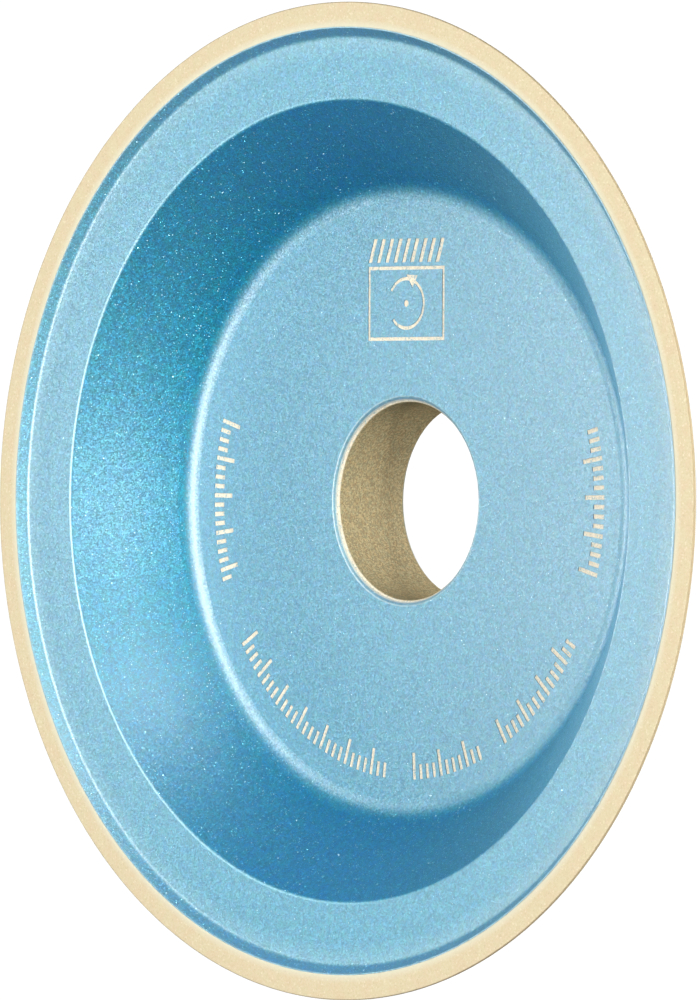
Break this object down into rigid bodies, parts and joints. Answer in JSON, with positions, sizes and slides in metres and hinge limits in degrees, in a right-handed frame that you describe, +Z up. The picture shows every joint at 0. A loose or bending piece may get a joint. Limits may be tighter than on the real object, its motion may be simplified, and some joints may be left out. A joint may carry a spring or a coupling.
{
  "type": "diamond grinding wheel",
  "caption": "Dish-shaped diamond grinding wheel with a 45 degree taper, a narrow flat abrasive rim and a plain bore.",
  "frame": {"origin": "centre of the wheel's box: on the bore axis, in the plane of the hub face inside the dish, which is half the wheel's thickness from either side", "axes": "+Y along the bore axis towards the back face, so the abrasive face looks to -Y; +Z up in the marks' reading direction; +X to the right seen from the front"},
  "size_m": [0.1, 0.02, 0.1],
  "materials": {
    "composite": "moulded resin composite with fine dark and light filler grains, machined in the bore",
    "foundation": "moulded resin without diamond",
    "abrasive": "fine diamond grit in a pale resin bond, dressed flat",
    "lacquer": "blue metallic flake lacquer, satin"
  },
  "bodies": {
    "root": {"core_body": "composite", "foundation_ring": "foundation", "abrasive_rim": "abrasive", "front_lacquer": "lacquer", "back_lacquer": "lacquer"}
  },
  "joints": []
}
